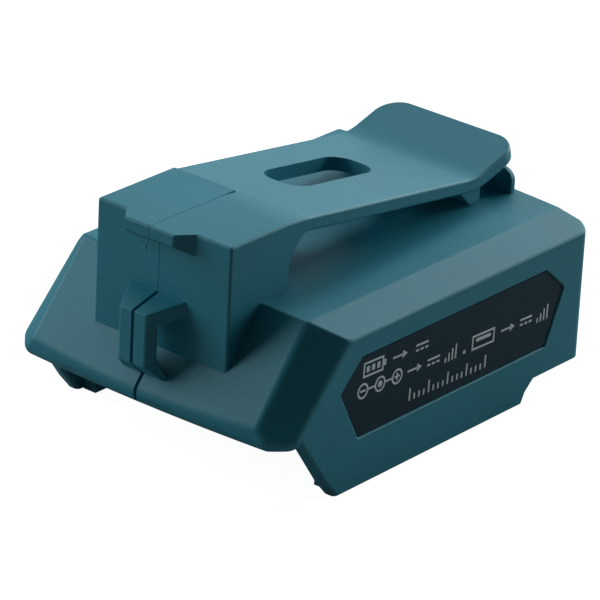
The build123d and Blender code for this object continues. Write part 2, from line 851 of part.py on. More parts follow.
# 5 V socket, a folded sheet round a plastic tongue with four contacts
usb_mouth = rear_face(abs(usb_x) + usb_width / 2) - socket_set_back
usb_middle = board_top + usb_height / 2
with BuildPart() as usb_socket_shell:
    with BuildSketch(cross_plane(usb_mouth)) as usb_outline:
        with Locations((usb_x, usb_middle)):
            Rectangle(usb_width, usb_height)
        fillet(usb_outline.vertices(), 2 * usb_sheet)
    extrude(amount=usb_depth)
    with BuildSketch(cross_plane(usb_mouth)) as usb_inside:
        with Locations((usb_x, usb_middle)):
            Rectangle(usb_width - 2 * usb_sheet, usb_height - 2 * usb_sheet)
        fillet(usb_inside.vertices(), usb_sheet)
    extrude(amount=usb_depth - usb_sheet, mode=Mode.SUBTRACT)

usb_root = usb_tongue_set_back + usb_tongue_length
with BuildPart() as usb_tongue:
    with BuildSketch(cross_plane(usb_mouth - usb_tongue_set_back)):
        with Locations((usb_x, usb_middle + usb_tongue_thick / 2)):
            Rectangle(usb_tongue_width, usb_tongue_thick)
    extrude(amount=usb_tongue_length)
    with BuildSketch(cross_plane(usb_mouth - usb_root)) as usb_base:
        with Locations((usb_x, usb_middle)):
            Rectangle(usb_width - 2 * usb_sheet, usb_height - 2 * usb_sheet)
        fillet(usb_base.vertices(), usb_sheet)
    extrude(amount=usb_depth - usb_sheet - usb_root)

with BuildPart() as usb_contacts:
    with BuildSketch(plan_plane(usb_middle)):
        with Locations((usb_x, usb_mouth - usb_root + usb_contact[1] / 2)):
            with GridLocations(usb_contact_pitch, 0, 4, 1):
                Rectangle(usb_contact[0], usb_contact[1])
    extrude(amount=-usb_contact[2])


# 12 V jack, a block with a round nose through the rear wall
jack_height_middle = board_top + jack_middle
jack_back = inner_rear_face(jack_x + jack_width / 2) - fit
jack_mouth = rear_face(jack_x + jack_nose / 2) - socket_set_back
with BuildPart() as dc_jack_body:
    with BuildSketch(cross_plane(jack_back)):
        with Locations((jack_x, board_top + jack_height / 2)):
            Rectangle(jack_width, jack_height)
    extrude(amount=jack_depth)
    fillet(dc_jack_body.edges().filter_by(Axis.Y).group_by(Axis.Z)[-1], edge_round)
    with BuildSketch(cross_plane(jack_mouth)):
        with Locations((jack_x, jack_height_middle)):
            Circle(jack_nose / 2)
    extrude(amount=jack_mouth - jack_back)
    with BuildSketch(cross_plane(jack_mouth)):
        with Locations((jack_x, jack_height_middle)):
            Circle(jack_bore / 2)
    extrude(amount=jack_bore_depth, mode=Mode.SUBTRACT)
    # groove for the spring under the bore
    with BuildSketch(plan_plane(jack_height_middle)):
        with Locations((jack_x, jack_mouth - jack_bore_depth + jack_spring[1] / 2)):
            Rectangle(jack_spring[0], jack_spring[1])
    extrude(amount=-jack_bore / 2 - jack_spring[2], mode=Mode.SUBTRACT)

with BuildPart() as dc_jack_spring:
    with BuildSketch(plan_plane(jack_height_middle - jack_bore / 2 - jack_spring[2])):
        with Locations((jack_x, jack_mouth - jack_bore_depth + jack_spring[1] / 2)):
            Rectangle(jack_spring[0], jack_spring[1])
    extrude(amount=jack_spring[2])

with BuildPart() as dc_jack_pin:
    with BuildSketch(cross_plane(jack_mouth - jack_bore_depth + jack_pin_length)):
        with Locations((jack_x, jack_height_middle)):
            Circle(jack_pin / 2)
    extrude(amount=jack_pin_length)
    fillet(dc_jack_pin.edges().group_by(Axis.Y)[-1], jack_pin / 4)


# Side-acting switch, at the rear edge of the board
control_middle = board_top + control_height
switch_face = board_rear - switch_gap
with BuildPart() as switch_body:
    with BuildSketch(cross_plane(switch_face)):
        with Locations((button_x, control_middle)):
            Rectangle(switch_width, 2 * control_height)
    extrude(amount=switch_depth)
    fillet(switch_body.edges().filter_by(Axis.Y), crisp_round)
    with BuildSketch(cross_plane(switch_face)):
        with Locations((button_x, control_middle)):
            Circle(plunger_diameter / 2 + plunger_gap)
    extrude(amount=plunger_sunk + 1.5 * button_travel, mode=Mode.SUBTRACT)

with BuildPart() as switch_plunger:
    with BuildSketch(cross_plane(switch_face + plunger_reach)):
        with Locations((button_x, control_middle)):
            Circle(plunger_diameter / 2)
    extrude(amount=plunger_reach + plunger_sunk)


# Power button, held behind the rear wall by its flange
flange_face = inner_rear_face(abs(button_x) + button_flange / 2) - button_rest_gap
button_face = rear_face(button_x) + button_proud
with BuildPart() as power_button:
    with BuildSketch(cross_plane(button_face)):
        with Locations((button_x, control_middle)):
            Circle(button_diameter / 2)
    extrude(amount=button_face - flange_face)
    fillet(power_button.edges().group_by(Axis.Y)[-1], crisp_round)
    with BuildSketch(cross_plane(flange_face)):
        with Locations((button_x, control_middle)):
            Circle(button_flange / 2)
    extrude(amount=button_flange_thick)
    with BuildSketch(cross_plane(flange_face)):
        with Locations((button_x, control_middle)):
            Circle(button_stem / 2)
    extrude(amount=flange_face - switch_face - plunger_reach)


# Status light, and the clear pipe that carries it through the wall
pipe_seat = inner_rear_face(light_x + light_flange / 2) - tight_fit
with BuildPart() as light_pipe:
    with BuildSketch(cross_plane(rear_face(light_x))):
        with Locations((light_x, control_middle)):
            Circle(light_diameter / 2)
    extrude(amount=rear_face(light_x) - pipe_seat)
    with BuildSketch(cross_plane(pipe_seat)):
        with Locations((light_x, control_middle)):
            Circle(light_flange / 2)
    extrude(amount=light_flange_thick)

led_face = pipe_seat - light_flange_thick - tight_fit
with BuildPart() as status_led:
    with BuildSketch(cross_plane(led_face)):
        with Locations((light_x, control_middle)):
            Circle(led_diameter / 2)
    extrude(amount=led_length)
    fillet(status_led.edges().group_by(Axis.Y)[-1], led_diameter / 4)
    with BuildSketch(cross_plane(led_face - led_length + led_rim_thick)):
        with Locations((light_x, control_middle)):
            Circle(led_rim / 2)
    extrude(amount=led_rim_thick)
    for side in (1, -1):
        with BuildSketch(side_plane(light_x + side * led_pitch / 2)):
            with BuildLine():
                Polyline(
                    (led_face - led_length, control_middle + led_leg / 2),
                    (led_face - led_length - 2 * led_leg, control_middle + led_leg / 2),
                    (led_face - led_length - 2 * led_leg, board_top),
                    (led_face - led_length - led_leg, board_top),
                    (led_face - led_length - led_leg, control_middle - led_leg / 2),
                    (led_face - led_length, control_middle - led_leg / 2),
                    close=True,
                )
            make_face()
        extrude(amount=led_leg / 2, both=True)


# Capacitors, upright cans on the board
def capacitor_can(spots, height):
    """Cans of one height, with the groove near the foot and a rounded top."""
    with BuildPart() as cans:
        with BuildSketch(plan_plane(board_top)):
            with Locations(spots):
                Circle(capacitor_diameter / 2)
        extrude(amount=height)
        fillet(cans.edges().group_by(Axis.Z)[-1], crisp_round)
        with BuildSketch(plan_plane(board_top + can_groove_height)):
            with Locations(spots):
                Circle(capacitor_diameter / 2)
                Circle(capacitor_diameter / 2 - can_groove, mode=Mode.SUBTRACT)
        extrude(amount=can_groove, mode=Mode.SUBTRACT)
    return cans.part


with BuildPart() as input_capacitors:
    add(capacitor_can([(capacitor_x, capacitor_y), (-capacitor_x, capacitor_y)], capacitor_height))

with BuildPart() as output_capacitor:
    add(capacitor_can([output_capacitor_spot], output_capacitor_height))


# Step-down converter: inductor, regulator, diode, fuse and resistors
with BuildPart() as buck_inductor:
    with BuildSketch(plan_plane(board_top)) as inductor_plan:
        with Locations(inductor_spot):
            RectangleRounded(inductor_side, inductor_side, edge_round)
    extrude(amount=inductor_height)
    with BuildSketch(plan_plane(board_top + inductor_height)):
        with Locations(inductor_spot):
            Circle(inductor_core / 2)
    extrude(amount=-crisp_round, mode=Mode.SUBTRACT)


def chip(spot, size):
    """A small moulded block on the board with its top edges broken."""
    with BuildPart() as block:
        with BuildSketch(plan_plane(board_top)):
            with Locations(spot):
                Rectangle(size[0], size[1])
        extrude(amount=size[2])
        chamfer(block.edges().group_by(Axis.Z)[-1], size[2] / 8)
    return block.part


with BuildPart() as regulator_chip:
    add(chip(regulator_spot, regulator_size))

with BuildPart() as schottky_diode:
    add(chip(diode_spot, diode_size))

with BuildPart() as input_fuse:
    add(chip(fuse_spot, fuse_size))

with BuildPart() as chip_resistors:
    with BuildSketch(plan_plane(board_top)):
        with Locations(resistor_spot):
            with GridLocations(resistor_pitch, 0, resistor_count, 1):
                Rectangle(resistor_size[0], resistor_size[1])
    extrude(amount=resistor_size[2])


left_housing.part.label = "left_housing"
export_step(left_housing.part, "parts/left_housing.step")

right_housing.part.label = "right_housing"
export_step(right_housing.part, "parts/right_housing.step")

housing_screws.part.label = "housing_screws"
export_step(housing_screws.part, "parts/housing_screws.step")

belt_clip.part.label = "belt_clip"
export_step(belt_clip.part, "parts/belt_clip.step")

label_plate.part.label = "label_plate"
export_step(label_plate.part, "parts/label_plate.step")

terminal_block.part.label = "terminal_block"
export_step(terminal_block.part, "parts/terminal_block.step")

circuit_board.part.label = "circuit_board"
export_step(circuit_board.part, "parts/circuit_board.step")

usb_socket_shell.part.label = "usb_socket_shell"
export_step(usb_socket_shell.part, "parts/usb_socket_shell.step")

usb_tongue.part.label = "usb_tongue"
export_step(usb_tongue.part, "parts/usb_tongue.step")

usb_contacts.part.label = "usb_contacts"
export_step(usb_contacts.part, "parts/usb_contacts.step")

dc_jack_body.part.label = "dc_jack_body"
export_step(dc_jack_body.part, "parts/dc_jack_body.step")

dc_jack_pin.part.label = "dc_jack_pin"
export_step(dc_jack_pin.part, "parts/dc_jack_pin.step")

dc_jack_spring.part.label = "dc_jack_spring"
export_step(dc_jack_spring.part, "parts/dc_jack_spring.step")

switch_body.part.label = "switch_body"
export_step(switch_body.part, "parts/switch_body.step")

switch_plunger.part.label = "switch_plunger"
export_step(switch_plunger.part, "parts/switch_plunger.step")

power_button.part.label = "power_button"
export_step(power_button.part, "parts/power_button.step")

light_pipe.part.label = "light_pipe"
export_step(light_pipe.part, "parts/light_pipe.step")

status_led.part.label = "status_led"
export_step(status_led.part, "parts/status_led.step")

input_capacitors.part.label = "input_capacitors"
export_step(input_capacitors.part, "parts/input_capacitors.step")

output_capacitor.part.label = "output_capacitor"
export_step(output_capacitor.part, "parts/output_capacitor.step")

buck_inductor.part.label = "buck_inductor"
export_step(buck_inductor.part, "parts/buck_inductor.step")

regulator_chip.part.label = "regulator_chip"
export_step(regulator_chip.part, "parts/regulator_chip.step")

schottky_diode.part.label = "schottky_diode"
export_step(schottky_diode.part, "parts/schottky_diode.step")

input_fuse.part.label = "input_fuse"
export_step(input_fuse.part, "parts/input_fuse.step")

chip_resistors.part.label = "chip_resistors"
export_step(chip_resistors.part, "parts/chip_resistors.step")
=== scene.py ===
from math import cos, radians, sin, tan

import bpy
from mathutils import Matrix, Vector


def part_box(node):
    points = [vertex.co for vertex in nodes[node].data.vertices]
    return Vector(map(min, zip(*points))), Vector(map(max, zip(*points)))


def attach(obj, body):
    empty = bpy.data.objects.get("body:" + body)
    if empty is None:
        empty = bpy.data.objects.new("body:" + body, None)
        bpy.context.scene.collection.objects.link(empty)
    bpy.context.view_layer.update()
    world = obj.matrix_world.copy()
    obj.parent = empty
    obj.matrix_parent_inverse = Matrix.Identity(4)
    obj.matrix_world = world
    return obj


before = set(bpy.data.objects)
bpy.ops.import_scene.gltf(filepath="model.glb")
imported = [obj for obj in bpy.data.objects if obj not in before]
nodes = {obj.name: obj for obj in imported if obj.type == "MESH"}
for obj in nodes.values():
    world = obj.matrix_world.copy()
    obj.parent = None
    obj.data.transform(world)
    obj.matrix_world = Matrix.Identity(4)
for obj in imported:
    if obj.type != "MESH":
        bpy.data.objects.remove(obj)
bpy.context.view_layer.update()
MM = 0.001


# The camera looks down at the corner between the strap loop and the label, from far off
# through a long lens, and is tipped a little to one side. It aims beside the tower's foot.
clip_root = 20.35 * MM
tower_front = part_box("belt_clip")[0][1] - clip_root
tower_foot = Vector((0, tower_front, 0))
azimuth, elevation, tip = radians(38.65), radians(24.32), radians(3.02)
distance = 814.13 * MM
aim_across, aim_up = 26.27 * MM, 29.06 * MM
focal_length, film_width = 270, 36

backward = Vector((sin(azimuth) * cos(elevation), -cos(azimuth) * cos(elevation), sin(elevation)))
across = Vector((cos(azimuth), sin(azimuth), 0))
upward = backward.cross(across)
right = cos(tip) * across + sin(tip) * upward
up = cos(tip) * upward - sin(tip) * across
place = tower_foot + aim_across * right + aim_up * up + distance * backward

lens = bpy.data.cameras.new("camera")
lens.lens = focal_length
lens.sensor_width = film_width
camera = bpy.data.objects.new("camera", lens)
turned = Matrix((right, up, backward)).transposed().to_4x4()
camera.matrix_world = Matrix.Translation(place) @ turned
bpy.context.scene.collection.objects.link(camera)
bpy.context.scene.camera = camera
bpy.context.scene.view_settings.view_transform = "Standard"


# The floor is a pale matt sheet, white where the camera looks at it, and it keeps the
# part's shadow. What mirrors it sees it far dimmer, as a sheet in the part's own shade.
def linear(hex_colour):
    """Linear colour of an sRGB hex value."""
    channels = [int(hex_colour[i : i + 2], 16) / 255 for i in (1, 3, 5)]
    return [c / 12.92 if c <= 0.04045 else ((c + 0.055) / 1.055) ** 2.4 for c in channels] + [1.0]


def add_node(tree, kind, settings=None, links=None):
    """Adds one node, sets its values or unlinked inputs, and links its inputs to other nodes' outputs."""
    node = tree.nodes.new(kind)
    for name, value in (settings or {}).items():
        if isinstance(name, int) or name in node.inputs:
            node.inputs[name].default_value = value
        else:
            setattr(node, name, value)
    for name, source in (links or {}).items():
        tree.links.new(source, node.inputs[name])
    return node


def start_material(name, **shader_values):
    """A new material with one shader, and the tree to build on."""
    material = bpy.data.materials.new(name)
    material.use_nodes = True
    tree = material.node_tree
    shader = tree.nodes["Principled BSDF"]
    for socket, value in shader_values.items():
        shader.inputs[socket.replace("_", " ")].default_value = value
    return material, tree, shader


def seen_strength(tree, plain, mirrored, looked_at):
    """A strength that differs for light, for mirrored rays, and for the camera and clear plastic."""
    path = add_node(tree, "ShaderNodeLightPath").outputs
    seen = {0: path["Is Camera Ray"], 1: path["Is Transmission Ray"]}
    direct = add_node(tree, "ShaderNodeMath", {"operation": "MAXIMUM"}, seen).outputs[0]
    ends = {"To Min": plain, "To Max": mirrored}
    gloss = add_node(tree, "ShaderNodeMapRange", ends, {"Value": path["Is Glossy Ray"]}).outputs["Result"]
    return add_node(tree, "ShaderNodeMix", {3: looked_at}, {0: direct, 2: gloss}).outputs[0]


floor_reach = 3.0
bpy.ops.mesh.primitive_plane_add(size=2 * floor_reach)
floor = bpy.context.object
floor.name = "floor"
paper, tree, shader = start_material(
    "matt paper",
    Base_Color=linear("#A0A0A0"),
    Roughness=0.9,
    Specular_IOR_Level=0.0,
    Emission_Color=linear("#FFFFFF"),
)
tree.links.new(seen_strength(tree, 0.0, 0.03, 0.96), shader.inputs["Emission Strength"])
floor.data.materials.append(paper)


# Around the part stands a plain room, white where the camera looks past the floor. Onto
# the part it sends next to no light, as in a studio with its walls draped.
world = bpy.data.worlds.new("room")
world.use_nodes = True
bpy.context.scene.world = world
tree = world.node_tree
sky = tree.nodes["Background"]
sky.inputs["Color"].default_value = linear("#FFFFFF")
tree.links.new(seen_strength(tree, 0.012, 0.05, 1.0), sky.inputs["Strength"])


# Five soft boxes light the part, slightly cool. The strong one stands low behind the belt
# stop, so that the tops shine and the front stays dark, with a weak one on each side. One
# hangs high on the left, and a small near one fills in the slope from the front left.
cool_white = (0.86, 1.0, 1.04)


def add_soft_box(name, direction, span, power, reach=1.1):
    """A square lamp that faces the part from an azimuth and an elevation in degrees."""
    turn, rise = radians(direction[0]), radians(direction[1])
    towards = Vector((sin(turn) * cos(rise), cos(turn) * cos(rise), sin(rise)))
    lamp = bpy.data.lights.new(name, "AREA")
    lamp.shape = "SQUARE"
    lamp.size = span
    lamp.energy = power
    lamp.color = cool_white
    holder = bpy.data.objects.new(name, lamp)
    facing = towards.to_track_quat("Z", "Y").to_matrix().to_4x4()
    holder.matrix_world = Matrix.Translation(reach * towards) @ facing
    holder.visible_camera = False
    bpy.context.scene.collection.objects.link(holder)


add_soft_box("back light", (3, 17), 0.95, 12.4)
add_soft_box("back left light", (-36, 10), 0.6, 1.1)
add_soft_box("back right light", (34, 10), 0.5, 1.2)
add_soft_box("upper left light", (-60, 62), 0.6, 2.3)
add_soft_box("front left light", (-124, 24), 0.3, 0.86, reach=0.5)


# The two halves of the shell and the clip are injection moulded in dark teal ABS. The
# mould's walls are lightly spark eroded, which leaves a satin skin. Its grain is drawn
# ten times as coarse as the real one, or the picture wouldn't show it.
def dress(names, material):
    """Gives CAD nodes their material."""
    for name in names:
        node = nodes[name]
        node.data.materials.clear()
        node.data.materials.append(material)


def wander(tree, cell, low, high, along=(1, 1, 1)):
    """A value that wanders between low and high over the surface, in cells of that size in millimetres."""
    position = add_node(tree, "ShaderNodeTexCoord").outputs["Object"]
    laid = add_node(tree, "ShaderNodeMapping", {"Scale": along}, {"Vector": position}).outputs[0]
    noise = {"Scale": 1 / (cell * MM), "Detail": 2.0}
    pattern = add_node(tree, "ShaderNodeTexNoise", noise, {"Vector": laid}).outputs[0]
    # Nearly all of the noise lies between 0.3 and 0.7
    ends = {"From Min": 0.3, "From Max": 0.7, "To Min": low, "To Max": high}
    return add_node(tree, "ShaderNodeMapRange", ends, {"Value": pattern}).outputs["Result"]


def grained(name, gloss, tint=None, relief=None, along=(1, 1, 1), tint_along=(1, 1, 1), **shader_values):
    """A material that varies over the surface in cells. gloss is a cell's size in millimetres and two
    roughnesses, tint a size and two colours, and relief a size, a depth in millimetres and a strength."""
    material, tree, shader = start_material(name, **shader_values)
    if tint:
        cell, first, second = tint
        colours = {"data_type": "RGBA", 6: linear(first), 7: linear(second)}
        mix = add_node(tree, "ShaderNodeMix", colours, {0: wander(tree, cell, 0, 1, tint_along)})
        tree.links.new(mix.outputs[2], shader.inputs["Base Color"])
    tree.links.new(wander(tree, *gloss, along), shader.inputs["Roughness"])
    if relief:
        cell, depth, strength = relief
        lift = {"Strength": strength, "Distance": depth * MM}
        bump = add_node(tree, "ShaderNodeBump", lift, {"Height": wander(tree, cell, 0, 1, along)})
        tree.links.new(bump.outputs["Normal"], shader.inputs["Normal"])
    return material


moulded_abs = grained(
    "satin moulded ABS",
    gloss=(0.5, 0.44, 0.52),
    tint=(22, "#2B8B9E", "#2F93A6"),
    relief=(0.5, 0.05, 0.12),
    IOR=1.54,
)
dress(["left_housing", "right_housing", "belt_clip"], moulded_abs)


# A low lip of the same ABS stands on the left half's edge and meets the right half, which
# keeps light and dust out of the seam. It follows the walls all round, just below their
# skin. It is made from the faces of the left half that lie in the seam's plane.
seam_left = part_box("left_housing")[1][0]
seam_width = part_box("right_housing")[0][0] - seam_left
tongue_depth = 0.3 * MM
tongue_share = 0.8
same_point, same_plane, square_on = 0.001 * MM, 0.01 * MM, 0.999
bpy.ops.object.select_all(action="DESELECT")
seam_tongue = bpy.data.objects.new("seam_tongue", nodes["left_housing"].data.copy())
bpy.context.scene.collection.objects.link(seam_tongue)
bpy.context.view_layer.objects.active = seam_tongue
seam_tongue.select_set(True)
bpy.ops.object.mode_set(mode="EDIT")
bpy.ops.mesh.select_all(action="SELECT")
bpy.ops.mesh.remove_doubles(threshold=same_point)
bpy.ops.mesh.select_mode(type="FACE")
bpy.ops.mesh.select_all(action="DESELECT")
bpy.ops.object.mode_set(mode="OBJECT")
for face in seam_tongue.data.polygons:
    face.select = face.normal.x < square_on or face.center.x < seam_left - same_plane
bpy.ops.object.mode_set(mode="EDIT")
bpy.ops.mesh.delete(type="FACE")
bpy.ops.mesh.select_all(action="SELECT")
bpy.ops.mesh.inset(thickness=tongue_depth)
bpy.ops.mesh.select_all(action="INVERT")
bpy.ops.mesh.delete(type="FACE")
bpy.ops.mesh.select_all(action="SELECT")
bpy.ops.transform.translate(value=(seam_width / 2, 0, 0))
bpy.ops.object.mode_set(mode="OBJECT")
wall = seam_tongue.modifiers.new("width", "SOLIDIFY")
wall.thickness = tongue_share * seam_width
wall.offset = 0
bpy.ops.object.modifier_apply(modifier="width")
seam_tongue.data.materials.clear()
seam_tongue.data.materials.append(moulded_abs)
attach(seam_tongue, "shell")


# The label is a matt, nearly black polyester film with a pressure-sensitive back, die cut
# to six sides and laid into the recess of the right wall.
film = grained(
    "matt polyester film",
    gloss=(0.4, 0.42, 0.52),
    tint=(9, "#1D3742", "#223E4A"),
    relief=(0.4, 0.02, 0.1),
    Specular_IOR_Level=0.2,
)
dress(["label_plate"], film)


# The print on the label is screen-printed light grey ink, a hair above the film. It has
# plain symbols: battery, arrow, direct current, plug poles, flat socket and a scale. Places
# on it are millimetres from the label's front point and from its lower edge.
ink_height = 0.02 * MM
stroke = 0.42
half_stroke = stroke / 2
print_askew = radians(-1.9)
print_marks = []


def keep_mark():
    """Adds the new primitive to the print, its place in its mesh."""
    bpy.ops.object.transform_apply()
    print_marks.append(bpy.context.object)


def bar(left, low, right_end, high):
    """A filled rectangle."""
    middle = ((left + right_end) / 2 * MM, (low + high) / 2 * MM, 0)
    bpy.ops.object.select_all(action="DESELECT")
    bpy.ops.mesh.primitive_plane_add(size=MM, location=middle)
    bpy.context.object.scale = (right_end - left, high - low, 1)
    keep_mark()


def disc(across_label, height, radius, corners=32, hollow=False):
    """A filled disc or triangle, or a ring one stroke wide."""
    bpy.ops.object.select_all(action="DESELECT")
    bpy.ops.mesh.primitive_circle_add(
        vertices=corners,
        radius=radius * MM,
        fill_type="NGON",
        location=(across_label * MM, height * MM, 0),
        rotation=(0, 0, radians(-90)),
    )
    keep_mark()
    if hollow:
        bpy.ops.object.mode_set(mode="EDIT")
        bpy.ops.mesh.inset(thickness=stroke * MM)
        bpy.ops.mesh.delete(type="FACE")
        bpy.ops.object.mode_set(mode="OBJECT")


def box_outline(left, low, right_end, high):
    """Four strokes along the sides of a rectangle."""
    bar(left, low, right_end, low + stroke)
    bar(left, high - stroke, right_end, high)
    bar(left, low + stroke, left + stroke, high - stroke)
    bar(right_end - stroke, low + stroke, right_end, high - stroke)


def arrow(left, height):
    """A stroke 3 mm long with a head."""
    bar(left, height - half_stroke, left + 3, height + half_stroke)
    disc(left + 3.2, height, 0.95, corners=3)


def direct_current(left, height):
    """A stroke over three dashes."""
    bar(left, height + 0.3, left + 3.6, height + 0.3 + stroke)
    for step in range(3):
        bar(left + 1.35 * step, height - 0.7, left + 1.35 * step + 0.9, height - 0.7 + stroke)


def rising_bars(left, low, count):
    """Upright strokes 1 mm apart, each higher than the one before."""
    for step in range(count):
        bar(left + step, low, left + step + stroke, low + 1 + 2 * step / (count - 1))


# First row: battery, arrow, direct current
row = 13.0
box_outline(5.5, row - 1.5, 11.3, row + 1.5)
bar(11.3, row - 0.6, 12.0, row + 0.6)
for cell in range(3):
    bar(6.4 + 1.5 * cell, row - 0.6, 7.3 + 1.5 * cell, row + 0.6)
arrow(14.0, row)
direct_current(20.6, row)

# Second row: the round plug's two poles and its pin, direct current, then the flat socket
row = 9.0
ring, sign = 1.55, 0.75
minus, pin, plus = 5.8, 10.7, 15.6
for pole in (minus, plus):
    disc(pole, row, ring, hollow=True)
    bar(pole - sign, row - half_stroke, pole + sign, row + half_stroke)
bar(plus - half_stroke, row - sign, plus + half_stroke, row - half_stroke)
bar(plus - half_stroke, row + half_stroke, plus + half_stroke, row + sign)
disc(pin, row, ring, hollow=True)
disc(pin, row, 0.65)
for left, right_end in ((minus, pin), (pin, plus)):
    bar(left + ring, row - half_stroke, right_end - ring, row + half_stroke)
arrow(18.6, row)
direct_current(24.4, row)
rising_bars(29.6, row - 1.5, 4)
disc(35.4, row - 1.0, 0.4)
box_outline(37.6, row - 1.5, 44.4, row + 1.5)
bar(38.8, row, 43.2, row + 0.7)
arrow(46.4, row)
direct_current(52.2, row)
rising_bars(57.4, row - 1.5, 4)

# Third row: a plain scale, with every fourth tick longer
row, first_tick, tick_pitch = 2.9, 19.6, 1.4
for tick in range(17):
    left = first_tick + tick_pitch * tick
    bar(left, row, left + stroke, row + (1.2 if tick % 4 else 2.5))

bpy.ops.object.select_all(action="DESELECT")
for mark in print_marks:
    mark.select_set(True)
bpy.ops.object.join()
label_print = bpy.context.object
label_print.name = "label_print"
label_low, label_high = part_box("label_plate")
to_wall = Matrix(((0, 0, 1, 0), (1, 0, 0, 0), (0, 1, 0, 0), (0, 0, 0, 1)))
label_corner = Matrix.Translation((label_high[0], label_low[1], label_low[2]))
label_print.matrix_world = label_corner @ to_wall @ Matrix.Rotation(print_askew, 4, "Z")
bpy.ops.object.transform_apply()
layer = label_print.modifiers.new("ink", "SOLIDIFY")
layer.thickness = ink_height
layer.offset = 1
bpy.ops.object.modifier_apply(modifier="ink")
ink = grained("screen-printed ink", gloss=(0.3, 0.5, 0.65), tint=(0.6, "#E3EAEC", "#F2F5F5"), IOR=1.5)
label_print.data.materials.append(ink)
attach(label_print, "shell")


# A gate mark on the tower's front is left where the hot plastic came in. It is a flat
# button of the same ABS, under a millimetre across, twisted off and left a hair proud.
gate_spot = (-4.2 * MM, tower_front, 40.9 * MM)
gate_radius, gate_proud = 0.42 * MM, 0.08 * MM
edge_round = 0.05 * MM
bpy.ops.object.select_all(action="DESELECT")
bpy.ops.mesh.primitive_cylinder_add(
    vertices=32, radius=gate_radius, depth=2 * gate_proud, location=gate_spot, rotation=(radians(90), 0, 0)
)
gate_mark = bpy.context.object
gate_mark.name = "gate_mark"
bpy.ops.object.transform_apply()
bpy.ops.object.mode_set(mode="EDIT")
bpy.ops.mesh.select_all(action="SELECT")
bpy.ops.mesh.bevel(offset=edge_round, segments=2)
bpy.ops.object.mode_set(mode="OBJECT")
bpy.ops.object.shade_smooth_by_angle(angle=radians(40))
gate_mark.data.materials.append(moulded_abs)
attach(gate_mark, "shell")


# A witness line runs up the middle of the clip's tip, where two inserts of the mould met.
# It is a ridge of the same ABS, a hair high. Its colour is painted paler than the ABS, a
# painted highlight that stands in for the light the ridge catches.
arm_fall, tip_rise = radians(7.85), radians(16.4)
arm_length, line_length, line_middle = 50.65 * MM, 9.0 * MM, 7.9 * MM
ridge_radius, ridge_proud = 0.2 * MM, 0.04 * MM
clip_low, clip_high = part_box("belt_clip")
knee_height = clip_high[2] - arm_length * tan(arm_fall)
line_height = knee_height + line_middle * tan(tip_rise) + (ridge_proud - ridge_radius) / cos(tip_rise)
bpy.ops.object.select_all(action="DESELECT")
bpy.ops.mesh.primitive_cylinder_add(
    vertices=24,
    radius=ridge_radius,
    depth=line_length,
    location=(0, clip_low[1] + arm_length + line_middle, line_height),
    rotation=(tip_rise - radians(90), 0, 0),
)
witness_line = bpy.context.object
witness_line.name = "clip_witness_line"
bpy.ops.object.transform_apply()
bpy.ops.object.mode_set(mode="EDIT")
bpy.ops.mesh.select_all(action="SELECT")
bpy.ops.mesh.bevel(offset=edge_round, segments=2)
bpy.ops.object.mode_set(mode="OBJECT")
bpy.ops.object.shade_smooth_by_angle(angle=radians(50))
# The ridge's pale tint is a painted highlight, not a colour of the plastic.
ridge_painted_highlight_abs = grained(
    "ABS with painted highlight", gloss=(0.5, 0.48, 0.56), tint=(2, "#4FA0B0", "#66AEBC"), IOR=1.54
)
witness_line.data.materials.append(ridge_painted_highlight_abs)
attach(witness_line, "clip")


# Four self-tapping screws of hardened steel hold the halves together from the left. They
# are bright zinc plated, with a faint mottle where the plating was passivated.
zinc_steel = grained(
    "bright zinc-plated steel",
    gloss=(0.5, 0.24, 0.38),
    tint=(1.6, "#B9BCBE", "#CFCBC0"),
    relief=(0.25, 0.02, 0.15),
    Metallic=1.0,
)
dress(["housing_screws"], zinc_steel)


# The terminal block, the jack's body, the socket's tongue and the switch are moulded in
# black nylon with glass fibre. The fibres lie along the flow and dull the skin in streaks.
flow = (1, 0.2, 1)
glass_nylon = grained(
    "glass-filled nylon",
    gloss=(0.3, 0.42, 0.62),
    tint=(0.8, "#151618", "#222426"),
    relief=(0.3, 0.03, 0.2),
    along=flow,
    tint_along=flow,
    IOR=1.53,
)
dress(["terminal_block", "dc_jack_body", "usb_tongue", "switch_body"], glass_nylon)


# The blades and contacts are stamped from spring brass strip and plated with a thin flash
# of gold. The rolling marks of the strip run along them.
flashed_brass = grained(
    "gold-flashed brass",
    gloss=(0.2, 0.2, 0.36),
    tint=(1.2, "#CDB06A", "#DCC383"),
    relief=(0.2, 0.01, 0.2),
    along=(1, 0.08, 1),
    Metallic=1.0,
)
brass_nodes = ["positive_terminal", "signal_terminal", "negative_terminal"]
dress(brass_nodes + ["usb_contacts", "dc_jack_pin", "dc_jack_spring"], flashed_brass)


# The 5 V socket's shell is folded from nickel-plated steel strip. Its drawn faces keep
# fine lines from front to back.
nickel_steel = grained(
    "nickel-plated steel strip",
    gloss=(0.25, 0.2, 0.34),
    tint=(2.5, "#BDBBB4", "#CECBC3"),
    relief=(0.25, 0.01, 0.2),
    along=(1, 0.06, 1),
    Metallic=1.0,
)
dress(["usb_socket_shell"], nickel_steel)


# The power button and the switch's plunger are moulded in black acetal, which is slippery
# and comes out of the mould with a soft even sheen.
acetal = grained(
    "moulded acetal",
    gloss=(0.35, 0.32, 0.4),
    tint=(3, "#1A1C1E", "#222528"),
    relief=(0.35, 0.03, 0.12),
    IOR=1.48,
)
dress(["power_button", "switch_plunger"], acetal)


# The light pipe is a short rod of clear polycarbonate, set in a hole of the rear wall. Its
# face comes polished from the mould, and a little haze stays in it.
clear_pipe = grained(
    "polished polycarbonate",
    gloss=(0.6, 0.04, 0.1),
    tint=(1.5, "#E6EEEE", "#F2F6F5"),
    Transmission_Weight=1.0,
    IOR=1.585,
)
dress(["light_pipe"], clear_pipe)


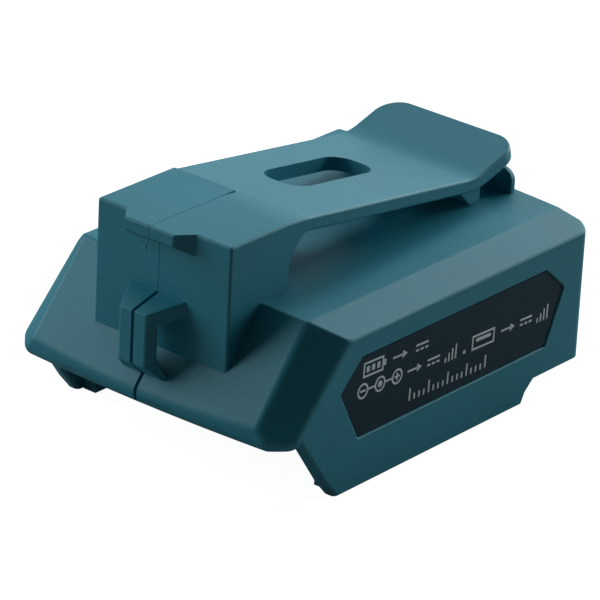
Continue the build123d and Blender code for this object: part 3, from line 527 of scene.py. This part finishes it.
# The status light is cast in milky green epoxy round two tinned steel legs, which stand
# out of the back of it.
def past(tree, axis, edge, row=None):
    """1 where a coordinate lies past an edge. In a row of like pieces, given as the first one's middle and
    the pitch, 1 further than the edge from a piece's middle."""
    position = add_node(tree, "ShaderNodeTexCoord").outputs["Object"]
    value = add_node(tree, "ShaderNodeSeparateXYZ", links={0: position}).outputs[axis]
    steps = [{"operation": "GREATER_THAN", 1: edge}]
    if row:
        middle, pitch = row
        about_first = {"operation": "SUBTRACT", 1: middle}
        about_own = {"operation": "WRAP", 1: pitch / 2, 2: -pitch / 2}
        steps = [about_first, about_own, {"operation": "ABSOLUTE"}] + steps
    for step in steps:
        value = add_node(tree, "ShaderNodeMath", step, {0: value}).outputs[0]
    return value


def two_finishes(tree, shader, mask, first, second):
    """Two finishes on one node, the second where the mask is 1. Each is a colour, a roughness and how far
    it is a metal."""
    colours = {"data_type": "RGBA", 6: linear(first[0]), 7: linear(second[0])}
    mix = add_node(tree, "ShaderNodeMix", colours, {0: mask})
    tree.links.new(mix.outputs[2], shader.inputs["Base Color"])
    ends = {"To Min": first[1], "To Max": second[1]}
    gloss = add_node(tree, "ShaderNodeMapRange", ends, {"Value": mask}).outputs[0]
    factors = {0: gloss, 1: wander(tree, 0.4, 0.85, 1.15)}
    grain = add_node(tree, "ShaderNodeMath", {"operation": "MULTIPLY"}, factors)
    tree.links.new(grain.outputs[0], shader.inputs["Roughness"])
    ends = {"To Min": first[2], "To Max": second[2]}
    metal = add_node(tree, "ShaderNodeMapRange", ends, {"Value": mask})
    tree.links.new(metal.outputs[0], shader.inputs["Metallic"])


leg_length = 1.0 * MM
led_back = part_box("status_led")[0][1] + leg_length
epoxy, tree, shader = start_material("cast green epoxy", IOR=1.54)
two_finishes(tree, shader, past(tree, "Y", led_back), ("#BFC0BC", 0.3, 1.0), ("#7FC79A", 0.14, 0.0))
dress(["status_led"], epoxy)


# The board is glass-fibre laminate under green solder mask. The copper below shows as
# lighter tracks and fields, and the weave of the glass as a fine ripple.
track_pitch, track_gap, field_length = 2.2 * MM, 0.3 * MM, 7 * MM
board = grained("green solder mask", gloss=(0.6, 0.26, 0.36), relief=(0.5, 0.02, 0.15), IOR=1.5)
tree = board.node_tree
position = add_node(tree, "ShaderNodeTexCoord").outputs["Object"]
copper = add_node(
    tree,
    "ShaderNodeTexBrick",
    {
        "Scale": 1.0,
        "Brick Width": field_length,
        "Row Height": track_pitch,
        "Mortar Size": track_gap,
        "Mortar Smooth": 0.1,
        "Color1": linear("#1C7248"),
        "Color2": linear("#237E52"),
        "Mortar": linear("#0F4F31"),
    },
    {"Vector": position},
)
tree.links.new(copper.outputs["Color"], tree.nodes["Principled BSDF"].inputs["Base Color"])
dress(["circuit_board"], board)


# The capacitors are drawn aluminium cans in a shrunk dark blue sleeve, which leaves the
# bare top of the can open.
bare_rim = 0.3 * MM
for name in ("input_capacitors", "output_capacitor"):
    can_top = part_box(name)[1][2] - bare_rim
    sleeved, tree, shader = start_material("sleeved aluminium can of " + name, IOR=1.5)
    two_finishes(tree, shader, past(tree, "Z", can_top), ("#1C2638", 0.3, 0.0), ("#C9CCCE", 0.28, 1.0))
    dress([name], sleeved)


# The inductor is pressed from iron powder in resin round its coil and soldered to the
# board. Its skin stays dull and faintly speckled.
pressed_iron = grained(
    "pressed iron powder",
    gloss=(0.3, 0.6, 0.78),
    tint=(0.3, "#26272A", "#3A3B3D"),
    relief=(0.3, 0.04, 0.3),
    IOR=1.6,
)
dress(["buck_inductor"], pressed_iron)


# The regulator and the diode are chips moulded in black epoxy and soldered to the board.
# Their skin comes matt from the mould, with a fine even grain.
compound = grained(
    "moulded epoxy compound",
    gloss=(0.15, 0.55, 0.7),
    tint=(0.7, "#1A1B1D", "#232527"),
    relief=(0.15, 0.02, 0.3),
    IOR=1.55,
)
dress(["regulator_chip", "schottky_diode"], compound)


# The fuse is a white fired body and the resistors are black glazed chips. Both have dull
# tinned caps at their ends, for the solder.
def capped(name, node, body_colour, cap, count=1, pitch=0.0):
    """Finishes a chip, or a row of chips at that pitch, with tinned caps at both ends along X."""
    low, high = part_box(node)
    length = high[0] - low[0] - (count - 1) * pitch
    row = (low[0] + length / 2, pitch or 2 * length)
    material, tree, shader = start_material(name, IOR=1.55)
    mask = past(tree, "X", length / 2 - cap, row)
    two_finishes(tree, shader, mask, (body_colour, 0.45, 0.0), ("#BEBFBD", 0.38, 1.0))
    dress([node], material)


capped("fired ceramic with tinned caps", "input_fuse", "#E4E1D6", 1.4 * MM)
capped("glazed chip with tinned caps", "chip_resistors", "#1D1E20", 0.35 * MM, count=4, pitch=3.2 * MM)
